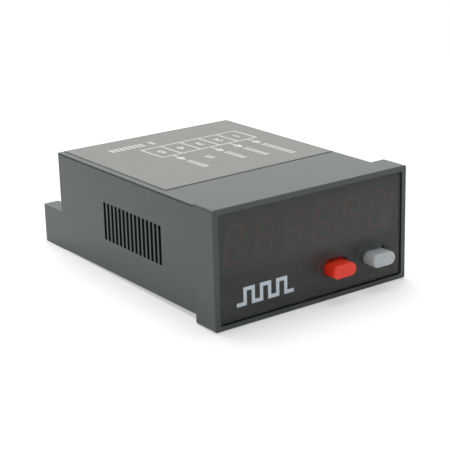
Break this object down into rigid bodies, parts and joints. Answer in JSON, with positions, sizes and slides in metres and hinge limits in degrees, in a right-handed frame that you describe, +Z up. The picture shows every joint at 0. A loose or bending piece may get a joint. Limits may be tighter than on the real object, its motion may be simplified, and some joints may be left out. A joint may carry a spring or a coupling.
{
  "type": "digital panel meter",
  "caption": "Panel meter with a light-emitting digit display behind a tinted window, two front push keys, a vented housing and rear screw terminals.",
  "frame": {"origin": "centre of the panel cut-out, in the plane of the bezel's back face, which seats on the panel", "axes": "+Y runs back through the panel along the body, +X to the right as seen from the front, +Z up; the front faces -Y"},
  "size_m": [0.072, 0.1054, 0.036],
  "materials": {
    "housing_plastic": "fine spark-textured dark grey moulding",
    "tinted_acrylic": "dark smoke-brown tinted clear acrylic, polished",
    "label_film": "satin grey printed film",
    "red_plastic": "satin red moulding",
    "grey_plastic": "satin light grey moulding",
    "black_plastic": "matt black moulding",
    "circuit_board": "green solder resist",
    "digit_plastic": "matt black moulding",
    "segment_resin": "milky red casting resin",
    "chip_plastic": "matt black mould compound",
    "sleeve_film": "shiny blue shrink sleeve",
    "ferrite": "sintered grey ferrite with lacquered winding",
    "white_plastic": "matt white mould compound",
    "terminal_plastic": "matt dark grey glass-filled moulding",
    "tin_plate": "satin tin plate",
    "zinc_plate": "bright zinc plate",
    "clamp_steel": "yellow-passivated zinc plate",
    "tinned_brass": "satin tinned brass"
  },
  "bodies": {
    "housing": {"housing": "housing_plastic", "display_window": "tinted_acrylic", "type_label": "label_film", "button_guide": "black_plastic", "display_board": "circuit_board", "digit_1": "digit_plastic", "digit_2": "digit_plastic", "digit_3": "digit_plastic", "digit_4": "digit_plastic", "digit_5": "digit_plastic", "digit_6": "digit_plastic", "segments_1": "segment_resin", "segments_2": "segment_resin", "segments_3": "segment_resin", "segments_4": "segment_resin", "segments_5": "segment_resin", "segments_6": "segment_resin", "reset_switch_cover": "tin_plate", "reset_switch_base": "black_plastic", "reset_dome": "tin_plate", "set_switch_cover": "tin_plate", "set_switch_base": "black_plastic", "set_dome": "tin_plate", "main_board": "circuit_board", "board_header": "black_plastic", "header_pins": "tinned_brass", "microcontroller": "chip_plastic", "crystal": "tin_plate", "capacitor_large": "sleeve_film", "capacitor_small": "sleeve_film", "choke": "ferrite", "regulator": "chip_plastic", "optocoupler_1": "white_plastic", "optocoupler_2": "white_plastic", "terminal_block": "terminal_plastic", "contact_1": "tinned_brass", "contact_2": "tinned_brass", "contact_3": "tinned_brass", "contact_4": "tinned_brass", "contact_5": "tinned_brass"},
    "reset_key": {"reset_button": "red_plastic", "reset_plunger": "black_plastic"},
    "set_key": {"set_button": "grey_plastic", "set_plunger": "black_plastic"},
    "screw_1": {"terminal_screw_1": "zinc_plate"},
    "clamp_1": {"wire_clamp_1": "clamp_steel"},
    "screw_2": {"terminal_screw_2": "zinc_plate"},
    "clamp_2": {"wire_clamp_2": "clamp_steel"},
    "screw_3": {"terminal_screw_3": "zinc_plate"},
    "clamp_3": {"wire_clamp_3": "clamp_steel"},
    "screw_4": {"terminal_screw_4": "zinc_plate"},
    "clamp_4": {"wire_clamp_4": "clamp_steel"},
    "screw_5": {"terminal_screw_5": "zinc_plate"},
    "clamp_5": {"wire_clamp_5": "clamp_steel"}
  },
  "joints": [
    {"name": "reset_press", "type": "slide", "parent": "housing", "child": "reset_key", "axis": [0, 1, 0], "range_m": [0, 0.001], "stiffness_N_per_m": 800, "springref_m": -0.0004},
    {"name": "set_press", "type": "slide", "parent": "housing", "child": "set_key", "axis": [0, 1, 0], "range_m": [0, 0.001], "stiffness_N_per_m": 800, "springref_m": -0.0004},
    {"name": "screw_1_turn", "type": "hinge", "parent": "housing", "child": "screw_1", "pos_m": [-0.00724, 0.0851, -0.006], "axis": [0, 0, -1], "range_deg": [0, 1080]},
    {"name": "screw_2_turn", "type": "hinge", "parent": "housing", "child": "screw_2", "pos_m": [0.00038, 0.0851, -0.006], "axis": [0, 0, -1], "range_deg": [0, 1080]},
    {"name": "screw_3_turn", "type": "hinge", "parent": "housing", "child": "screw_3", "pos_m": [0.008, 0.0851, -0.006], "axis": [0, 0, -1], "range_deg": [0, 1080]},
    {"name": "screw_4_turn", "type": "hinge", "parent": "housing", "child": "screw_4", "pos_m": [0.01562, 0.0851, -0.006], "axis": [0, 0, -1], "range_deg": [0, 1080]},
    {"name": "screw_5_turn", "type": "hinge", "parent": "housing", "child": "screw_5", "pos_m": [0.02324, 0.0851, -0.006], "axis": [0, 0, -1], "range_deg": [0, 1080]},
    {"name": "clamp_1_lift", "type": "slide", "parent": "housing", "child": "clamp_1", "axis": [0, 0, 1], "range_m": [0, 0.0015]},
    {"name": "clamp_2_lift", "type": "slide", "parent": "housing", "child": "clamp_2", "axis": [0, 0, 1], "range_m": [0, 0.0015]},
    {"name": "clamp_3_lift", "type": "slide", "parent": "housing", "child": "clamp_3", "axis": [0, 0, 1], "range_m": [0, 0.0015]},
    {"name": "clamp_4_lift", "type": "slide", "parent": "housing", "child": "clamp_4", "axis": [0, 0, 1], "range_m": [0, 0.0015]},
    {"name": "clamp_5_lift", "type": "slide", "parent": "housing", "child": "clamp_5", "axis": [0, 0, 1], "range_m": [0, 0.0015]}
  ],
  "couplings": [
    {"joint": "screw_1_turn", "follows": "clamp_1_lift", "rad_per_m": 12566},
    {"joint": "screw_2_turn", "follows": "clamp_2_lift", "rad_per_m": 12566},
    {"joint": "screw_3_turn", "follows": "clamp_3_lift", "rad_per_m": 12566},
    {"joint": "screw_4_turn", "follows": "clamp_4_lift", "rad_per_m": 12566},
    {"joint": "screw_5_turn", "follows": "clamp_5_lift", "rad_per_m": 12566}
  ]
}
